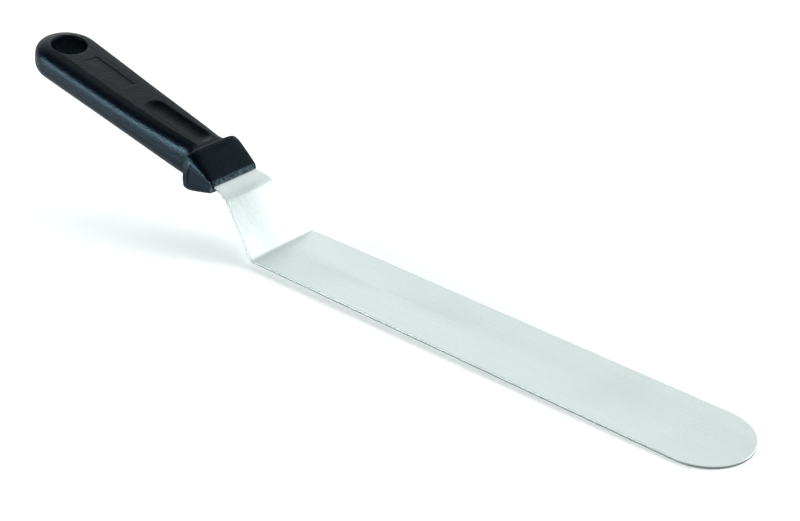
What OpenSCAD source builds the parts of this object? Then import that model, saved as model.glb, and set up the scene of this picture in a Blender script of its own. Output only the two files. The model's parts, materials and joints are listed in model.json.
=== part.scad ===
// Offset palette knife: a long, flat, round-ended steel blade, cranked up at its heel to a
// moulded grip that has a hanging hole at its butt.
// +X runs from the heel to the tip, +Y across the blade, +Z up.
// The origin is the middle of the blade's flat underside, which is what the knife lies on.

/* [Blade] */
// Length of the flat part, from the heel fold to the round tip
blade_len = 247.5; // [150:0.5:320]
// Width of the blade; the tip is a half circle across this width
blade_w = 40; // [34:0.5:50]
// Thickness of the steel, the same from the tip to the end of the tang
steel_t = 1.2; // [0.8:0.1:1.6]

/* [Crank] */
// Height from the blade up to the point where the crank turns back into the tang
crank_rise = 23.4; // [16:0.1:32]
// Slope of the crank
crank_angle = 45.7; // [35:0.1:60]
// Radius of the fold at the heel, to the middle of the steel
heel_bend_r = 2.2; // [1.5:0.1:4]
// Radius of the bend at the top of the crank, to the middle of the steel
top_bend_r = 12; // [6:0.5:14]
// Length from the top bend's corner to the front of the handle
exit_run = 7.9; // [7:0.1:12]
// Width of the steel where it enters the handle
exit_w = 26; // [22:0.5:27]

/* [Tang] */
// Length of the steel inside the handle
tang_len = 92; // [64:1:100]
// Width of the tang behind its shoulders
tang_w = 13; // [10:0.5:15]
// Radius of the holes that lock the tang into the moulded handle
anchor_r = 3; // [2:0.5:4]
// Number of those holes
anchor_count = 3; // [2:1:3]

/* [Handle] */
// Length of the handle
handle_len = 141; // [130:0.5:150]
// Slope of the handle, rising from the blade to the butt
handle_tilt = 13.5; // [8:0.1:18]
// Width behind the bolster
neck_w = 20.6; // [20:0.2:26]
// Width at the butt, which is a half circle seen from above
butt_w = 33.2; // [30:0.1:36]
// Thickness behind the bolster
neck_t = 19.8; // [16:0.1:20.4]
// Thickness at the slimmest point of the grip
waist_t = 16.2; // [13:0.1:16.8]
// Thickness at the butt
butt_t = 16.8; // [15:0.1:18]
// Half width of the flat panel, as a share of the grip's half width
panel_share = 0.53; // [0.5:0.01:0.65]

/* [Bolster] */
// Length of the wedge at the front of the handle
bolster_len = 18; // [14:0.5:20]
// Width of the wedge at its front edge
bolster_front_w = 29; // [28.5:0.5:31]
// Width of the wedge at its shoulders
bolster_back_w = 32.6; // [31:0.2:36]
// Thickness of the wedge behind its bevelled front edge
bolster_front_t = 7; // [7:0.1:8]
// Thickness of the wedge at its shoulders
bolster_back_t = 21.8; // [18:0.1:22.4]
// Radius of the concave corners between the shoulders and the grip
shoulder_r = 6.2; // [3:0.1:7]

/* [Hanging hole] */
// Radius of the hole
hole_r = 8.8; // [6:0.1:8.9]
// Rounding of the hole's two rims
hole_rim_r = 1; // [0.6:0.1:1.2]
// Distance from the hole's centre to the end of the handle
hole_from_butt = 16.9; // [16:0.1:19]

/* [Thumb scoops] */
// Distance from the front of the handle to the scoop
scoop_start = 21; // [20:0.5:26]
// Length of the scoop
scoop_len = 42; // [36:1:50]
// Width of the scoop
scoop_w = 11; // [9:0.5:12]
// Depth of the scoop
scoop_depth = 1.7; // [1:0.1:2]

/* [Label recess] */
// Length of the blank recess on the upper panel
label_len = 29.5; // [20:0.5:32]
// Width of the recess
label_w = 9.4; // [7:0.1:10]
// Depth of the recess along its deep edge; it runs out to nothing at the other
label_depth = 0.3; // [0.2:0.1:0.5]

/* [Hidden] */
$fn = 64;

// The tang lies this far above the middle plane of the handle
tang_above_mid = 0.9;
// The shoulders that step the steel down to the tang, measured from the front of the handle
tang_shoulder = [3, 7];
// Where the first anchor hole lies along the tang, and how far the last lies from its end
anchor_from_front = 26;
anchor_from_end = 12;
// Steps in which the bends, the butt and the loft's corners are drawn
bend_steps = 12;
loft_steps = 16;
corner_steps = 9;
// Extra length of a cutter past the surface that it cuts
over = 1;
// Thickness of the slabs that the bolster is stretched over
slab_t = 0.1;

// Corner of the top bend, in the middle of the steel, with the heel's corner at X = 0
corner_x = -crank_rise / tan(crank_angle);
corner_z = steel_t / 2 + crank_rise;
// Where the middle of the steel enters the handle
exit_x = corner_x - exit_run * cos(handle_tilt);
exit_z = corner_z + exit_run * sin(handle_tilt);

// The grip starts inside the bolster and is measured from the front of the handle
grip_start = bolster_len - 4;
flare_start = 20;
flare_end = handle_len - hole_from_butt;
hole_at = handle_len - hole_from_butt;
butt_r = butt_w / 2;
// Rounding of the butt seen from the side
butt_edge_r = 5.8;
// How the width grows from the neck to the butt: 1 is a straight taper, less is a rounder one
flare_power = 0.55;
// How soon the thick neck thins down to the waist
neck_power = 3;
// Shares of the grip's length between which it thickens again for the butt
swell_from = 0.5;
swell_to = 0.88;
// Crease along the edge of the flat panels, as a share of the thickness lost down to the side
panel_crease = 0.18;
// Powers of the rounded sections: 2 is an ellipse and more is squarer
grip_upper_power = 3.6;
grip_lower_power = 2.8;
bolster_front_power = 9;
bolster_back_power = 5.2;
// Bevel round the bolster's front edge, and the land behind its slopes
bolster_bevel = 1.5;
bolster_land = 2.7;
// Distance from the hole's centre to the label recess
label_gap = 16;

// Length of the hole's straight wall, between its two rounded rims
hole_wall = butt_t - 2 * hole_rim_r;

// ---- shapes shared by the sub-parts ----

// Stands a child on the handle's axes: X along it to the butt, Z out of its upper face
module on_handle()
    translate([exit_x, 0, exit_z])
        rotate([0, handle_tilt, 0])
            rotate([0, 0, 180])
                translate([0, 0, -tang_above_mid])
                    children();

// Puts the origin at the middle of the blade's underside
module place()
    translate([-blade_len / 2, 0, 0])
        children();

function smooth(u) = let (v = max(0, min(1, u))) v * v * (3 - 2 * v);

// Points of an arc about c, from angle a to angle b
function arc(c, r, a, b, n) =
    [for (i = [0:n]) let (t = a + (b - a) * i / n) c + r * [cos(t), sin(t)]];

// ---- blade: flat, crank and tang in one piece of steel ----

// Centre of a bend between two straight lines that leave corner p at angles a and b
function bend_centre(p, a, b, r) =
    let (half = (b - a) / 2, mid = (a + b) / 2)
    p + r / sin(half) * [cos(mid), sin(mid)];

// One face of the steel in the XZ plane, side = 1 for the upper and -1 for the lower
function steel_face(side) =
    let (
        heel = [0, steel_t / 2],
        top = [corner_x, corner_z],
        heel_c = bend_centre(heel, 0, 180 - crank_angle, heel_bend_r),
        top_c = bend_centre(top, 180 - handle_tilt, 360 - crank_angle, top_bend_r),
        heel_side_r = heel_bend_r - side * steel_t / 2,
        top_side_r = top_bend_r + side * steel_t / 2,
        end = top + (exit_run + tang_len) * [-cos(handle_tilt), sin(handle_tilt)],
        out = side * steel_t / 2 * [sin(handle_tilt), cos(handle_tilt)]
    )
    concat(
        [[blade_len + over, steel_t / 2 * (1 + side)]],
        arc(heel_c, heel_side_r, 270, 270 - crank_angle, bend_steps),
        arc(top_c, top_side_r, 90 - crank_angle, 90 - handle_tilt, bend_steps),
        [end + out]
    );

function reversed(points) = [for (i = [len(points) - 1:-1:0]) points[i]];

// Outline of the steel from above, out to the round tip and back to the end of the tang
module blade_outline() {
    behind = [exit_x - tang_len, exit_x - tang_shoulder[1], exit_x - tang_shoulder[0]];
    polygon([
        [blade_len - blade_w / 2, blade_w / 2],
        [0, blade_w / 2],
        [exit_x, exit_w / 2],
        [behind[2], exit_w / 2],
        [behind[1], tang_w / 2],
        [behind[0], tang_w / 2],
        [behind[0], -tang_w / 2],
        [behind[1], -tang_w / 2],
        [behind[2], -exit_w / 2],
        [exit_x, -exit_w / 2],
        [0, -blade_w / 2],
        [blade_len - blade_w / 2, -blade_w / 2]
    ]);
    translate([blade_len - blade_w / 2, 0])
        circle(d = blade_w);
}

module steel() {
    height = exit_z + tang_len;
    anchor_pitch = (tang_len - anchor_from_front - anchor_from_end) / (anchor_count - 1);
    difference() {
        intersection() {
            translate([0, 0, -over])
                linear_extrude(height + 2 * over)
                    blade_outline();
            rotate([90, 0, 0])
                linear_extrude(blade_w + 2 * over, center = true)
                    polygon(concat(steel_face(1), reversed(steel_face(-1))));
        }
        for (i = [0:anchor_count - 1])
            on_handle()
                translate([anchor_from_front + i * anchor_pitch, 0, tang_above_mid])
                    cylinder(h = steel_t + 2 * over, r = anchor_r, center = true);
    }
}

// ---- handle: moulded round the tang ----

// Half width of the grip at distance s from the front: a flare, then the round butt
function flare(s) =
    let (u = max(0, min(1, (s - flare_start) / (flare_end - flare_start))))
    (neck_w + (butt_w - neck_w) * pow(u, flare_power)) / 2;

// Share of the full size that is left at s, where an edge of radius r rounds the end
function end_share(s, r) =
    let (v = max(0, s - (handle_len - r)) / r)
    sqrt(max(0, 1 - v * v));

// Concave corner that widens the grip out to the bolster's shoulders
function shoulder(s) =
    let (v = max(0, min(shoulder_r, bolster_len + shoulder_r - s)))
    shoulder_r - sqrt(shoulder_r * shoulder_r - v * v);

function half_width(s) = (flare(s) + shoulder(s)) * end_share(s, butt_r);

function half_thickness(s) =
    let (u = max(0, min(1, (s - flare_start) / (flare_end - flare_start))))
    (
        waist_t
        + (neck_t - waist_t) * pow(1 - u, neck_power)
        + (butt_t - waist_t) * smooth((u - swell_from) / (swell_to - swell_from))
    ) / 2 * end_share(s, butt_edge_r);

// Points of a quarter of a rounded section, from its side to its top, both 1 from the middle
function quarter_round(power) =
    [for (i = [0:corner_steps]) let (a = 90 * i / corner_steps)
        [pow(cos(a), 2 / power), pow(sin(a), 2 / power)]];

// The whole section that has one quarter above its middle and the other below
function four_quarters(upper, lower) =
    let (n = len(lower) - 1)
    concat(
        upper,
        [for (q = reversed(upper)) if (q[0] > 0) [-q[0], q[1]]],
        [for (i = [1:n]) [-lower[i][0], -lower[i][1]]],
        [for (i = [n:-1:1]) if (lower[i][0] > 0) [lower[i][0], -lower[i][1]]]
    );

// A quarter of the grip's section: half a flat panel, creased at its edge into a rounded side
function grip_quarter(s, power) =
    let (w = half_width(s), t = half_thickness(s), p = panel_share * w)
    [for (q = quarter_round(power)) [p + (w - p) * q[0], t * q[1] / (1 + panel_crease * q[0])]];

function grip_section(s) =
    four_quarters(grip_quarter(s, grip_upper_power), grip_quarter(s, grip_lower_power));

// Distances at which the grip's sections are drawn, closer together round the butt
function grip_stations() =
    concat(
        [grip_start],
        [for (i = [0:5]) bolster_len + shoulder_r * i / 6],
        [for (i = [0:loft_steps - 1])
            let (from = bolster_len + shoulder_r, to = handle_len - butt_r)
            from + (to - from) * i / loft_steps],
        [for (i = [0:loft_steps])
            handle_len - butt_r + (butt_r - 0.02) * sin(90 * i / loft_steps)]
    );

// The grip as one closed skin through its sections
module grip() {
    stations = grip_stations();
    rings = [for (s = stations) grip_section(s)];
    n = len(rings[0]);
    last = len(stations) - 1;
    points = [for (i = [0:last]) for (q = rings[i]) [stations[i], q[0], q[1]]];
    sides = [for (i = [0:last - 1]) for (j = [0:n - 1])
        let (a = i * n + j, b = i * n + (j + 1) % n)
        each [[a, a + n, b], [b, a + n, b + n]]];
    caps = [[for (j = [0:n - 1]) j], [for (j = [n - 1:-1:0]) last * n + j]];
    polyhedron(points = points, faces = concat(sides, caps), convexity = 4);
}

// A thin slab across the handle with rounded edges, w wide and t thick
module rounded_slab(w, t, power) {
    quarter = [for (q = quarter_round(power)) [w / 2 * q[0], t / 2 * q[1]]];
    rotate([90, 0, 90])
        linear_extrude(slab_t)
            polygon(four_quarters(quarter, quarter));
}

// The wedge that closes the front of the handle round the steel
module bolster() {
    lip_w = bolster_front_w - bolster_bevel;
    lip_t = bolster_front_t - 2 * bolster_bevel;
    hull() {
        rounded_slab(lip_w, lip_t, bolster_front_power);
        translate([bolster_bevel, 0, 0])
            rounded_slab(bolster_front_w, bolster_front_t, bolster_front_power);
        translate([bolster_len - bolster_land, 0, 0])
            rounded_slab(bolster_back_w, bolster_back_t, bolster_back_power);
        translate([bolster_len - slab_t, 0, 0])
            rounded_slab(bolster_back_w - bolster_bevel, bolster_back_t, bolster_back_power);
    }
}

// A long scoop with round ends, cut into the upper face by a fat rod
module scoop() {
    rod_r = (pow(scoop_w / 2, 2) + scoop_depth * scoop_depth) / (2 * scoop_depth);
    front = scoop_start + scoop_w / 2;
    back = scoop_start + scoop_len - scoop_w / 2;
    drop = half_thickness(front) - half_thickness(back);
    tilt = atan2(drop, back - front);
    translate([front, 0, half_thickness(front) + rod_r - scoop_depth])
        rotate([0, tilt, 0]) {
            sphere(rod_r);
            rotate([0, 90, 0])
                cylinder(h = back - front, r = rod_r);
            translate([back - front, 0, 0])
                sphere(rod_r);
        }
}

// The hanging hole, straight in the middle and rounded at both rims
module hanging_hole() {
    mouth_r = hole_r + hole_rim_r;
    cylinder(h = butt_t + 2 * over, r = hole_r, center = true);
    for (side = [0, 1])
        mirror([0, 0, side])
            rotate_extrude()
                difference() {
                    translate([hole_r / 2, hole_wall / 2])
                        square([mouth_r - hole_r / 2, hole_rim_r + over]);
                    translate([mouth_r, hole_wall / 2])
                        circle(hole_rim_r);
                }
}

// A blank rectangular recess whose floor slopes across the upper panel
module label_recess() {
    from = hole_at - label_gap - label_len;
    rise = atan((half_thickness(from + label_len) - half_thickness(from)) / label_len);
    slope = atan(label_depth / label_w);
    translate([from, label_w / 2, half_thickness(from)])
        rotate([slope, -rise, 0])
            translate([0, -label_w, 0])
                cube([label_len, label_w, over]);
}

module moulding()
    difference() {
        union() {
            grip();
            bolster();
        }
        scoop();
        mirror([0, 0, 1])
            scoop();
        label_recess();
        translate([hole_at, 0, 0])
            hanging_hole();
    }

// ---- nodes ----

// Stamped and bent stainless steel
module blade()
    color("lightgray")
        place()
            steel();

// Black plastic moulded over the tang
module handle()
    color("darkslategray")
        place()
            difference() {
                on_handle()
                    moulding();
                steel();
            }

blade();
handle();
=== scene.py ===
"""Looks of the offset palette knife: satin steel blade and grained black moulded handle."""
import json
import math

import bpy
import numpy as np
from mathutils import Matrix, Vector


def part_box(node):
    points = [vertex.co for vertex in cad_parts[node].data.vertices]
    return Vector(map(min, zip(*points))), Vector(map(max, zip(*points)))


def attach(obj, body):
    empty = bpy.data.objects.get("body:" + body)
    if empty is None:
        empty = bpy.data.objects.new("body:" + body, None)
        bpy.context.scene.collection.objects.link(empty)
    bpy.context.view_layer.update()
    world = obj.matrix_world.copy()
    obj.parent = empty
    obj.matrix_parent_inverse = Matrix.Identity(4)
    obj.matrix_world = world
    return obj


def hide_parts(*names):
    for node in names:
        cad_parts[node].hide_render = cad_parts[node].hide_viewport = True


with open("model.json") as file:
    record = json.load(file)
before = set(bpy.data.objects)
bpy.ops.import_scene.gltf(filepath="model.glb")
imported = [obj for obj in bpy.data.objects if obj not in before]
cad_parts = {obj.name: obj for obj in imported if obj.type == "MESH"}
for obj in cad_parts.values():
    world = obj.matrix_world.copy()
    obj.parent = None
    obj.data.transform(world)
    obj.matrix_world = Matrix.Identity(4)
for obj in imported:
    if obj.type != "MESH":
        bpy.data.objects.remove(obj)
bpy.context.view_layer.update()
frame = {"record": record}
MM = 0.001

# ---- driving dimensions, in millimetres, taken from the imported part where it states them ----

BLADE_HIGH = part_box("blade")[1] / MM
HALF_LEN, HALF_WIDE = BLADE_HIGH.x, BLADE_HIGH.y
STEEL_T = 1.2
STEEL_EDGE_R = 0.28
CRANK_RISE, CRANK_ANGLE = 23.4, math.radians(45.7)
HEEL_R, TOP_R = 2.2, 12.0
EXIT_RUN, EXIT_HALF = 7.9, 13.0
TANG_LEN, TANG_HALF = 92.0, 6.5
TANG_SHOULDERS = (3, 7)

HOLE = next(m for m in frame["record"]["mounts"] if m["name"] == "hanging_hole")
HOLE_R = HOLE["dims"]["r_mm"]
HOLE_AT, HANDLE_LEN = 124.1, 141.0
UP = Vector(HOLE["axis"])
BACK = Vector((-UP.z, 0, UP.x))
FRONT = Vector(HOLE["pos_m"]) / MM - HOLE_AT * BACK
TILT = math.atan2(UP.x, UP.z)

# The grip: how its width flares and its thickness thins and swells from the neck to the butt
NECK_W, BUTT_W = 20.6, 33.2
FLARE_START, FLARE_POWER = 20.0, 0.55
NECK_T, WAIST_T, BUTT_T = 19.8, 16.2, 16.8
NECK_POWER = 3
SWELL_FROM, SWELL_SPAN = 0.5, 0.38
# Its section: flat panel as a share of the half width, crease, and powers of the rounded sides
PANEL_SHARE, CREASE, UPPER_POWER, LOWER_POWER = 0.53, 0.18, 3.6, 2.8
GRIP_START = 15.0
RIM_R = 1.0
SCOOP = {"start": 21.0, "length": 42.0, "half": 5.7, "depth": 1.7, "soft": 0.12}
LABEL = {"start": 78.6, "length": 29.5, "half": 4.7, "depth": 0.3}
# The recess starts to sink this far inside its outline, over an edge this wide
LABEL_EDGE_IN, LABEL_EDGE_WIDTH = 0.3, 0.45

# The bolster at its lip, behind its bevel and at its shoulders
BOLSTER_LEN, SHOULDER_R = 18.0, 6.2
BOLSTER_AT = (0, 1.4, 15.3)
BOLSTER_HALF_W = (13.8, 14.5, 16.3)
BOLSTER_POWER = (9.0, 9.0, 5.2)
# Half thickness of its slopes, which run on to this distance, and where they level off
SLOPE_AT, SLOPE_HALF_T = (0, 1.4, 30), (2.2, 3.6, 18.7)
BOLSTER_TOP, BOLSTER_TOP_SOFT = 10.9, 0.8
# Radius of its edges at the lip, how much it grows, and the distance over which it does
BOLSTER_EDGE_R, BOLSTER_EDGE_GROWTH, BOLSTER_EDGE_RUN = 0.25, 0.55, 9
# The slopes lean, so their distance counts for a little less than it does across the handle
SLOPE_LEAN = 0.93
# Rounding of the corner between the bolster and the grip
JOIN_R = 0.7

# Rubbed edges: how far round a point is looked at, and how far it stands out, least and span
RUB_REACH = 0.35
RUB_LEAST, RUB_SPAN = 0.02, 0.12
# The bevelled lip is painted lighter all over, as a painted highlight, to this distance back, and
# fades over this run
LIP_HIGHLIGHT_RUN, LIP_HIGHLIGHT_FADE = 1.0, 0.5

# ---- fineness of the meshes ----

ACROSS = 12
TIP_ROWS = 25
FLAT_STEPS, HEEL_STEPS, CRANK_STEPS, TOP_STEPS, TANG_STEPS = 44, 14, 12, 16, 40
RIM_ANGLES = (-90, -60, -30, -0.01, 0.01, 30, 60, 90)
CELL = 0.41
# Half the width and height of the grid that the handle is found in
HALF_REACH = (17.5, 11.2)
# Steps that bring each point onto the surface, and the least squared slope that they count with
SNAP_STEPS, LEAST_SLOPE = 12, 0.04

# ---- room, in metres ----

AZ, EL = math.radians(41.554), math.radians(29.213)
CAMERA_AT = (0.32845, -0.4275, 0.3394)
LENS, SENSOR = 68.1, 36.0
TABLE_HALF = 12.0
TABLE_RISE = 0.008
WORLD_COLOUR, WORLD_STRENGTH = (0.94, 1.0, 0.99, 1), 0.08
LIGHT_COLOUR = (0.95, 1.0, 0.995)
LIT_POINT = Vector((-0.05, 0, 0.03))
# Each softbox: its direction from the knife, its distance, its width and height, its radiance
LIGHTS = {
    "back_wall": ((-0.22, 0.72, 0.6), 2.2, (4.4, 2.0), 1.3),
    "back_right": ((0.70, 0.66, 0.30), 1.8, (2.6, 1.2), 4.2),
    "lip_light": ((0.70, 0.655, 0.28), 1.8, (0.8, 0.55), 17.0),
    "right_key": ((0.92, 0.2, 0.35), 1.8, (1.2, 1.0), 1.5),
    "back_left": ((-0.95, 0.3, 0.25), 1.8, (1.2, 0.8), 1.5),
    "front_card": ((0.70, -0.70, 0.26), 2.2, (3.0, 0.9), 0.8),
    "side_strip": ((-0.48, -0.86, 0.06), 1.5, (0.5, 0.36), 170.0),
}


# ---- small helpers ----

def clamp(v, low=0.0, high=1.0):
    return np.clip(v, low, high)


def smooth(u):
    v = clamp(u)
    return v * v * (3 - 2 * v)


def soft_min(a, b, k):
    t = clamp(0.5 + 0.5 * (b - a) / k)
    return b + (a - b) * t - k * t * (1 - t)


def soft_max(a, b, k):
    return -soft_min(-a, -b, k)


def round_both(a, b, r):
    """Both a and b are inside: their common edge is rounded with radius r."""
    outside = np.hypot(np.maximum(a + r, 0), np.maximum(b + r, 0))
    return np.minimum(np.maximum(a, b), -r) + outside


def mesh_object(name, points, faces, material, replaced):
    mesh = bpy.data.meshes.new(name)
    mesh.from_pydata(points, [], faces)
    mesh.update()
    mesh.shade_smooth()
    obj = bpy.data.objects.new(name, mesh)
    bpy.context.scene.collection.objects.link(obj)
    mesh.materials.append(material)
    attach(obj, "root")
    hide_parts(replaced)
    return obj


class Nodes:
    """A short way to write a material's node tree."""

    def __init__(self, name):
        self.material = bpy.data.materials.new(name)
        self.material.use_nodes = True
        self.tree = self.material.node_tree
        self.tree.nodes.clear()

    def add(self, kind, settings=(), **inputs):
        node = self.tree.nodes.new("ShaderNode" + kind)
        for key, value in dict(settings).items():
            setattr(node, key, value)
        for key, value in inputs.items():
            self.put(node, key.replace("_", " "), value)
        return node

    def put(self, node, key, value):
        socket = node.inputs[int(key)] if key.isdigit() else node.inputs[key]
        if isinstance(value, bpy.types.NodeSocket):
            self.tree.links.new(value, socket)
        else:
            socket.default_value = value

    def math(self, operation, *values):
        node = self.add("Math", {"operation": operation})
        for i, value in enumerate(values):
            self.put(node, str(i), value)
        return node.outputs[0]

    def ramp(self, value, low, high, out_low=0.0, out_high=1.0):
        node = self.add("MapRange", {"interpolation_type": "SMOOTHSTEP"}, Value=value)
        ends = {"From Min": low, "From Max": high, "To Min": out_low, "To Max": out_high}
        for key, number in ends.items():
            node.inputs[key].default_value = number
        return node.outputs[0]

    def noise(self, vector, scale, detail=2.0, rough=0.5, distort=0.0):
        look = {"Scale": scale, "Detail": detail, "Roughness": rough, "Distortion": distort}
        node = self.add("TexNoise", Vector=vector, **look)
        return node.outputs["Fac"]

    def mix(self, share, a, b):
        node = self.add("Mix", {"data_type": "RGBA"})
        self.put(node, "0", share)
        self.put(node, "6", a)
        self.put(node, "7", b)
        return node.outputs[2]

    def bump(self, height, distance, strength=1.0, normal=None):
        node = self.add("Bump", Height=height, Distance=distance, Strength=strength)
        if normal is not None:
            self.put(node, "Normal", normal)
        return node.outputs[0]

    def finish(self, **sockets):
        shader = self.add("BsdfPrincipled")
        for key, value in sockets.items():
            self.put(shader, key.replace("_", " "), value)
        out = self.add("OutputMaterial")
        self.tree.links.new(shader.outputs[0], out.inputs[0])
        return self.material


# ---- materials ----

def steel_material():
    n = Nodes("satin_steel")
    place = n.add("TexCoord").outputs["Object"]
    grain = n.add("Mapping", Vector=place, Scale=(60, 5200, 60)).outputs[0]
    wide_grain = n.add("Mapping", Vector=place, Scale=(9, 900, 9)).outputs[0]
    fine = n.noise(grain, 1.0, 3.0, 0.6)
    bands = n.noise(wide_grain, 1.0, 2.0, 0.5)
    smudge = n.noise(place, 26.0, 3.0, 0.55, 0.6)
    slant = {"Rotation": (0, 0, 0.22), "Scale": (35, 1500, 35)}
    scratch_map = n.add("Mapping", Vector=place, **slant).outputs[0]
    scratch = n.ramp(n.noise(scratch_map, 1.0, 1.0, 0.4), 0.74, 0.8)
    tone = n.mix(n.ramp(bands, 0.3, 0.7), (0.53, 0.565, 0.562, 1), (0.55, 0.586, 0.583, 1))
    tone = n.mix(n.ramp(smudge, 0.35, 0.75, 0.0, 0.35), tone, (0.51, 0.546, 0.542, 1))
    rough = n.math("ADD", n.ramp(fine, 0.2, 0.8, 0.22, 0.28), n.ramp(smudge, 0.3, 0.75, 0.0, 0.05))
    rough = n.math("ADD", rough, n.math("MULTIPLY", scratch, 0.1))
    height = n.math("ADD", n.math("MULTIPLY", fine, 0.8), n.math("MULTIPLY", bands, 0.15))
    height = n.math("SUBTRACT", height, n.math("MULTIPLY", scratch, 0.5))
    normal = n.bump(height, 0.000006, 0.2)
    # The steel's rounded side faces are painted dark grey: painted shade, standing for the shadowed
    # table that they reflect. The same mask also makes them rougher.
    painted_side_shade = n.ramp(n.add("Attribute", {"attribute_name": "painted_side_shade"}).outputs["Fac"], 0.35, 0.95)
    tone = n.mix(n.math("MULTIPLY", painted_side_shade, 0.85), tone, (0.11, 0.125, 0.125, 1))
    rough = n.math("ADD", rough, n.math("MULTIPLY", painted_side_shade, 0.2))
    return n.finish(Base_Color=tone, Metallic=1.0, Roughness=rough, Normal=normal, Anisotropic=0.45)


def plastic_material():
    n = Nodes("grained_black_plastic")
    place = n.add("TexCoord").outputs["Object"]
    on_handle = n.add("Mapping", {"vector_type": "TEXTURE"}, Vector=place)
    on_handle.inputs["Location"].default_value = FRONT * MM
    on_handle.inputs["Rotation"].default_value = (0, TILT, 0)
    local = on_handle.outputs[0]
    cells = n.add("TexVoronoi", {"feature": "SMOOTH_F1"}, Vector=local, Scale=1500.0)
    cells = cells.outputs["Distance"]
    grain = n.noise(local, 2300.0, 2.0, 0.6)
    flow = n.noise(local, 45.0, 3.0, 0.5)
    wear_and_lip_highlight = n.add("Attribute", {"attribute_name": "edge"}).outputs["Fac"]
    rubbed_and_lip_highlight = n.math("MULTIPLY", wear_and_lip_highlight, n.ramp(n.noise(local, 420.0, 3.0, 0.6), 0.35, 0.65))
    height = n.math("ADD", n.math("MULTIPLY", cells, 0.9), n.math("MULTIPLY", grain, 0.8))
    normal = n.bump(height, 0.00024, 0.7)
    apart = n.add("SeparateXYZ", Vector=local)
    seam = n.ramp(n.math("ABSOLUTE", apart.outputs["Z"]), 0.00008, 0.0002, 1.0, 0.0)
    normal = n.bump(seam, 0.00007, 0.7, normal)
    tone = n.mix(n.ramp(grain, 0.3, 0.7), (0.0003, 0.0006, 0.0015, 1), (0.0007, 0.0012, 0.003, 1))
    # Lighter colour on worn convex edges (wear) and all over the bevelled lip, where it is a
    # painted highlight; both are also made a little less rough
    tone = n.mix(n.math("MULTIPLY", rubbed_and_lip_highlight, 0.5), tone, (0.065, 0.082, 0.09, 1))
    rough = n.math("ADD", n.ramp(grain, 0.25, 0.75, 0.26, 0.34), n.ramp(flow, 0.3, 0.7, 0.0, 0.05))
    rough = n.math("SUBTRACT", rough, n.math("MULTIPLY", rubbed_and_lip_highlight, 0.06))
    gloss = {"IOR": 1.45, "Specular_IOR_Level": 0.1, "Specular_Tint": (0.38, 0.76, 1.0, 1)}
    return n.finish(Base_Color=tone, Roughness=rough, Normal=normal, **gloss)


def floor_material():
    n = Nodes("white_table")
    place = n.add("TexCoord").outputs["Object"]
    mottle = n.noise(place, 9.0, 3.0)
    tone = n.mix(mottle, (0.93, 0.935, 0.935, 1), (0.95, 0.95, 0.95, 1))
    glow = {"Emission_Color": (0.95, 1.0, 1.0, 1), "Emission_Strength": 0.11}
    return n.finish(Base_Color=tone, Roughness=0.75, **glow)


# ---- steel: flat blade, crank and tang ----

def steel_path():
    """The middle line of the steel from the tip back, (x, z, angle), and the top bend's corner."""
    corner_x = -HALF_LEN - CRANK_RISE / math.tan(CRANK_ANGLE)
    corner_z = STEEL_T / 2 + CRANK_RISE
    heel_in = HEEL_R * math.tan(CRANK_ANGLE / 2)
    turn = CRANK_ANGLE - TILT
    top_in = TOP_R * math.tan(turn / 2)
    crank_len = math.hypot(CRANK_RISE, CRANK_RISE / math.tan(CRANK_ANGLE))
    legs = [
        (2 * HALF_LEN - heel_in, 0.0, FLAT_STEPS),
        (HEEL_R * CRANK_ANGLE, CRANK_ANGLE, HEEL_STEPS),
        (crank_len - heel_in - top_in, 0.0, CRANK_STEPS),
        (TOP_R * turn, -turn, TOP_STEPS),
        (EXIT_RUN - top_in + TANG_LEN, 0.0, TANG_STEPS),
    ]
    x, z, angle = HALF_LEN, STEEL_T / 2, 0.0
    stations = []
    for length, bend, steps in legs:
        for i in range(steps):
            share = i / steps
            if bend:
                r = length / bend
                now = angle + bend * share
                px = x - r * (math.sin(now) - math.sin(angle))
                pz = z - r * (math.cos(now) - math.cos(angle))
            else:
                now = angle
                px = x - length * share * math.cos(angle)
                pz = z + length * share * math.sin(angle)
            stations.append((px, pz, now))
        if bend:
            r = length / bend
            x -= r * (math.sin(angle + bend) - math.sin(angle))
            z -= r * (math.cos(angle + bend) - math.cos(angle))
            angle += bend
        else:
            x -= length * math.cos(angle)
            z += length * math.sin(angle)
    stations.append((x, z, angle))
    return np.array(stations), corner_x, corner_z


def steel_half_width(x, exit_x):
    """Half width of the steel at x: round tip, straight blade, crank, shoulders and tang."""
    taper = np.interp(x, [exit_x, -HALF_LEN], [EXIT_HALF, HALF_WIDE])
    front, back = TANG_SHOULDERS
    tang = np.interp(x, [exit_x - back, exit_x - front], [TANG_HALF, EXIT_HALF])
    beyond = np.clip(x - (HALF_LEN - HALF_WIDE), 0, HALF_WIDE)
    tip = np.sqrt(HALF_WIDE ** 2 - beyond ** 2)
    return np.where(x < exit_x, tang, np.minimum(taper, tip))


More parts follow.
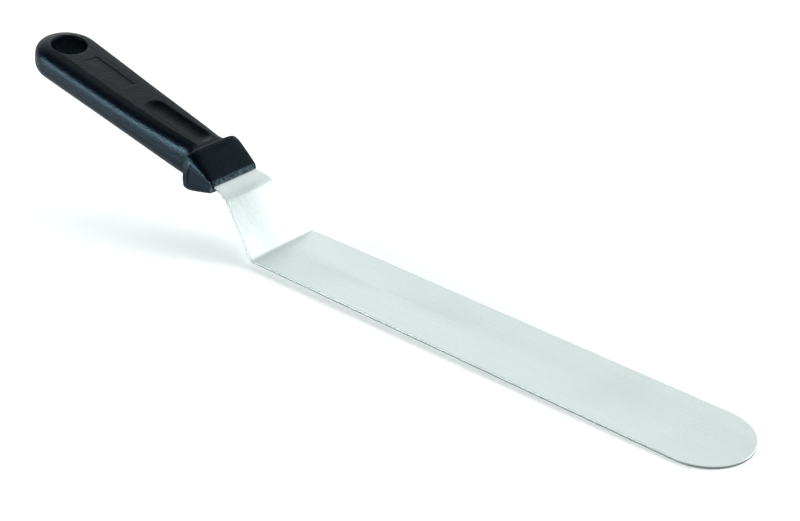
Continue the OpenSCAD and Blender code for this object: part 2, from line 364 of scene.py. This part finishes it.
def build_blade():
    stations, corner_x, corner_z = steel_path()
    exit_x = corner_x - EXIT_RUN * math.cos(TILT)
    tip = HALF_WIDE * (1 - np.cos(np.linspace(0, math.pi / 2, TIP_ROWS)))
    rows = [(HALF_LEN - d, STEEL_T / 2, 0.0) for d in tip]
    rows += [tuple(row) for row in stations if row[0] < HALF_LEN - HALF_WIDE - 1]
    for behind in TANG_SHOULDERS:
        run = EXIT_RUN + behind / math.cos(TILT)
        rows.append((exit_x - behind, corner_z + run * math.sin(TILT), TILT))
    rows = np.array(sorted(rows, key=lambda row: -row[0]))
    half = steel_half_width(rows[:, 0], exit_x)
    along = np.concatenate([[0], np.cumsum(np.hypot(np.diff(rows[:, 0]), np.diff(rows[:, 1])))])
    edge = np.stack([along, half], 1)
    step = np.gradient(edge, axis=0)
    out = np.stack([-step[:, 1], step[:, 0]], 1)
    out /= np.linalg.norm(out, axis=1)[:, None]
    out[0] = (-1, 0)
    r, flat = STEEL_EDGE_R, STEEL_T / 2 - STEEL_EDGE_R
    rings = [(math.radians(a), math.copysign(flat, a)) for a in RIM_ANGLES]
    top, last = len(rings) - 1, len(rows) - 1
    points, normals, painted_side_shade, index = [], [], [], {}

    def vertex(i, j, k):
        """A point of row i and ring k, j steps of ACROSS from the near edge to the far one."""
        key = (0, 0, k) if i == 0 else (i, j, k)
        if key not in index:
            index[key] = len(points)
            angle, lift = rings[k]
            share = 2 * j / ACROSS - 1 if i else 0
            u, y = edge[i] - out[i] * r * (1 - math.cos(angle))
            lift += r * math.sin(angle)
            x, z = np.interp(u, along, rows[:, 0]), np.interp(u, along, rows[:, 1])
            lean = rows[i, 2]
            points.append((x + lift * math.sin(lean), max(y, 0) * share, z + lift * math.cos(lean)))
            side = math.cos(angle) if abs(share) == 1 or i == 0 else 0
            rise = math.sin(angle)
            back = side * out[i][0]
            # side marks the rounded side faces, which the steel material paints dark as painted
            # shade
            painted_side_shade.append(side)
            normals.append((
                -back * math.cos(lean) + rise * math.sin(lean),
                side * out[i][1] * share,
                back * math.sin(lean) + rise * math.cos(lean),
            ))
        return index[key]

    faces = []
    for i in range(last):
        for k in range(top):
            near = [(i, k), (i, k + 1), (i + 1, k + 1), (i + 1, k)]
            far = [(i, k), (i + 1, k), (i + 1, k + 1), (i, k + 1)]
            faces.append([vertex(a, 0, b) for a, b in near])
            faces.append([vertex(a, ACROSS, b) for a, b in far])
        for j in range(ACROSS):
            square = [(i, j), (i, j + 1), (i + 1, j + 1), (i + 1, j)]
            for k in (0, top):
                quad = [vertex(a, b, k) for a, b in square]
                faces.append(quad[::-1] if k == 0 else quad)
    row = list(range(ACROSS + 1))
    end = [vertex(last, j, 0) for j in row] + [vertex(last, ACROSS, k) for k in range(1, top)]
    end += [vertex(last, j, top) for j in row[::-1]]
    end += [vertex(last, 0, k) for k in range(top - 1, 0, -1)]
    faces.append(end)
    faces = [list(dict.fromkeys(face)) for face in faces]
    faces = [face for face in faces if len(face) > 2]
    world = [tuple(c * MM for c in p) for p in points]
    obj = mesh_object("blade_steel", world, faces, steel_material(), "blade")
    obj.data.normals_split_custom_set_from_vertices(normals)
    obj.data.attributes.new("painted_side_shade", "FLOAT", "POINT").data.foreach_set("value", painted_side_shade)


# ---- handle: one moulding, written as a field that is negative inside ----

def grip_share(s):
    """How far along the flaring grip s lies, from 0 to 1."""
    return clamp((s - FLARE_START) / (HOLE_AT - FLARE_START))


def half_width(s):
    v = clamp(BOLSTER_LEN + SHOULDER_R - s, 0, SHOULDER_R)
    flare = (NECK_W + (BUTT_W - NECK_W) * grip_share(s) ** FLARE_POWER) / 2
    return flare + SHOULDER_R - np.sqrt(SHOULDER_R ** 2 - v ** 2)


def half_thickness(s):
    u = grip_share(s)
    swell = (BUTT_T - WAIST_T) * smooth((u - SWELL_FROM) / SWELL_SPAN)
    return (WAIST_T + (NECK_T - WAIST_T) * (1 - u) ** NECK_POWER + swell) / 2


def scoop_depth(s, y):
    half = SCOOP["half"]
    front, back = SCOOP["start"] + half, SCOOP["start"] + SCOOP["length"] - half
    reach = np.hypot(s - np.clip(s, front, back), y) / half
    return SCOOP["depth"] * soft_max(1 - reach ** 2, 0 * reach, SCOOP["soft"])


def label_depth(s, y):
    """A shallow blank recess for a label on the upper panel, deepest along its far edge."""
    middle = LABEL["start"] + LABEL["length"] / 2
    reach = np.maximum(np.abs(s - middle) - LABEL["length"] / 2, np.abs(y) - LABEL["half"])
    sink = smooth((y + LABEL["half"]) / (2 * LABEL["half"]))
    return LABEL["depth"] * sink * (1 - smooth((reach + LABEL_EDGE_IN) / LABEL_EDGE_WIDTH))


def grip_field(s, y, h):
    centre = HANDLE_LEN - BUTT_W / 2
    at = np.minimum(s, centre)
    w, t = half_width(at), half_thickness(at)
    t = t - scoop_depth(s, y) - np.where(h > 0, label_depth(s, y), 0)
    rho = np.where(s > centre, np.hypot(s - centre, y), np.abs(y))
    p = PANEL_SHARE * w
    q = np.maximum(rho - p, 0) / (w - p)
    v = np.abs(h) / t * (1 + CREASE * q)
    n = np.where(h > 0, UPPER_POWER, LOWER_POWER)
    size = (q ** n + v ** n) ** (1 / n) + 1e-9
    slope = np.hypot((q / size) ** (n - 1) / (w - p), (v / size) ** (n - 1) / t)
    return (size - 1) / (slope + 1e-9)


def bolster_field(s, y, h):
    w = np.interp(s, BOLSTER_AT, BOLSTER_HALF_W)
    t = soft_min(np.interp(s, SLOPE_AT, SLOPE_HALF_T), BOLSTER_TOP + 0 * s, BOLSTER_TOP_SOFT)
    n = np.interp(s, BOLSTER_AT, BOLSTER_POWER)
    u, v = np.abs(y) / w, np.abs(h) / t
    size = (u ** n + v ** n) ** (1 / n) + 1e-9
    fall = np.hypot((u / size) ** (n - 1) / w, (v / size) ** (n - 1) / t)
    side = (size - 1) / (fall + 1e-9)
    ends = np.maximum(-s, s - BOLSTER_LEN)
    edge_r = BOLSTER_EDGE_R + BOLSTER_EDGE_GROWTH * smooth(s / BOLSTER_EDGE_RUN)
    return round_both(side * SLOPE_LEAN, ends, edge_r)


def handle_field(s, y, h):
    grip = np.maximum(grip_field(s, y, h), GRIP_START - s)
    whole = soft_min(grip, bolster_field(s, y, h), JOIN_R)
    hole = HOLE_R - np.hypot(s - HOLE_AT, y)
    return round_both(whole, hole, RIM_R)


def gradient(points, e=0.02):
    out = np.empty_like(points)
    for k in range(3):
        d = np.zeros(3)
        d[k] = e
        out[:, k] = (handle_field(*(points + d).T) - handle_field(*(points - d).T)) / (2 * e)
    return out


def surface_net(low, high, cell):
    """Points and quads of the field's zero surface: one point in each grid cell that it crosses."""
    axes = [np.arange(a, b + cell, cell) for a, b in zip(low, high)]
    S, Y, H = np.meshgrid(*axes, indexing="ij")
    inside = handle_field(S, Y, H) < 0
    shape = np.array(inside.shape) - 1
    steps = [(i, j, k) for i in (0, 1) for j in (0, 1) for k in (0, 1)]
    corners = [inside[tuple(slice(a, a + b) for a, b in zip(step, shape))] for step in steps]
    total = np.sum(corners, axis=0)
    crossed = (total > 0) & (total < 8)
    ids = np.full(shape, -1)
    ids[crossed] = np.arange(crossed.sum())
    where = np.argwhere(crossed)
    points = np.stack([axes[k][where[:, k]] + cell / 2 for k in range(3)], 1)
    quads = []
    for k in range(3):
        a = np.take(inside, range(inside.shape[k] - 1), k)
        b = np.take(inside, range(1, inside.shape[k]), k)
        for enter in (True, False):
            cut = np.argwhere((a & ~b) if enter else (b & ~a))
            u, v = (k + 1) % 3, (k + 2) % 3
            ring = []
            for du, dv in ((0, 0), (-1, 0), (-1, -1), (0, -1)):
                c = cut.copy()
                c[:, u] += du
                c[:, v] += dv
                ring.append(ids[c[:, 0], c[:, 1], c[:, 2]])
            ring = np.stack(ring, 1)
            quads.append(ring if enter else ring[:, ::-1])
    return points, np.concatenate(quads)


def build_handle():
    pad = 2 * CELL
    wide, tall = (reach + pad for reach in HALF_REACH)
    points, quads = surface_net((-pad, -wide, -tall), (HANDLE_LEN + pad, wide, tall), CELL)
    for _ in range(SNAP_STEPS):
        value, slope = handle_field(*points.T), gradient(points)
        step = value / np.maximum((slope ** 2).sum(1), LEAST_SLOPE)
        points = points - slope * np.clip(step, -0.5 * CELL, 0.5 * CELL)[:, None]
    normal = gradient(points)
    normal /= np.linalg.norm(normal, axis=1)[:, None]
    around = [d * np.eye(3)[k] for k in range(3) for d in (-RUB_REACH, RUB_REACH)]
    lift = np.mean([handle_field(*(points + offset).T) for offset in around], axis=0)
    # Over the bevelled lip the mark is a painted highlight; on the convex edges it is wear
    lip_highlight = 1 - smooth((points[:, 0] - LIP_HIGHLIGHT_RUN) / LIP_HIGHLIGHT_FADE)
    edge = np.maximum(clamp((lift - RUB_LEAST) / RUB_SPAN), lip_highlight)
    axes = np.array([BACK, (0, 1, 0), UP])
    world = (points @ axes + np.array(FRONT)) * MM
    faces = quads[:, ::-1].tolist()
    plastic = plastic_material()
    obj = mesh_object("handle_moulding", world.tolist(), faces, plastic, "handle")
    wear_and_lip_highlight = obj.data.attributes.new("edge", "FLOAT", "POINT").data
    wear_and_lip_highlight.foreach_set("value", edge.astype(np.float32))
    obj.data.normals_split_custom_set_from_vertices((normal @ axes).tolist())


# ---- room: white table, soft lights, camera ----

def soft_light(name, towards, distance, size, radiance):
    """A rectangular softbox, seen from the knife in the given direction."""
    data = bpy.data.lights.new(name, "AREA")
    data.shape = "RECTANGLE"
    data.size, data.size_y = size
    data.energy = radiance * math.pi * size[0] * size[1]
    data.color = LIGHT_COLOUR
    light = bpy.data.objects.new(name, data)
    direction = Vector(towards).normalized()
    light.location = LIT_POINT + direction * distance
    light.rotation_euler = direction.to_track_quat("Z", "Y").to_euler()
    light.visible_camera = False
    bpy.context.scene.collection.objects.link(light)


def build_room():
    """A white table that touches the blade's tip and falls away slightly under its heel."""
    square = ((-1, -1), (1, -1), (1, 1), (-1, 1))
    spots = [(x * TABLE_HALF, y * TABLE_HALF) for x, y in square]
    corners = [(x, y, TABLE_RISE * (x - HALF_LEN * MM)) for x, y in spots]
    mesh = bpy.data.meshes.new("table")
    mesh.from_pydata(corners, [], [(0, 1, 2, 3)])
    mesh.materials.append(floor_material())
    table = bpy.data.objects.new("table", mesh)
    bpy.context.scene.collection.objects.link(table)
    world = bpy.data.worlds.new("studio")
    world.use_nodes = True
    background = world.node_tree.nodes["Background"]
    background.inputs["Color"].default_value = WORLD_COLOUR
    background.inputs["Strength"].default_value = WORLD_STRENGTH
    bpy.context.scene.world = world
    for name, settings in LIGHTS.items():
        soft_light(name, *settings)


def build_camera():
    back = Vector((math.sin(AZ) * math.cos(EL), -math.cos(AZ) * math.cos(EL), math.sin(EL)))
    data = bpy.data.cameras.new("camera")
    data.sensor_width = SENSOR
    data.lens = LENS
    camera = bpy.data.objects.new("camera", data)
    camera.location = CAMERA_AT
    camera.rotation_euler = back.to_track_quat("Z", "Y").to_euler()
    bpy.context.scene.collection.objects.link(camera)
    bpy.context.scene.camera = camera


build_blade()
build_handle()
build_room()
build_camera()
bpy.context.scene.view_settings.view_transform = "Standard"
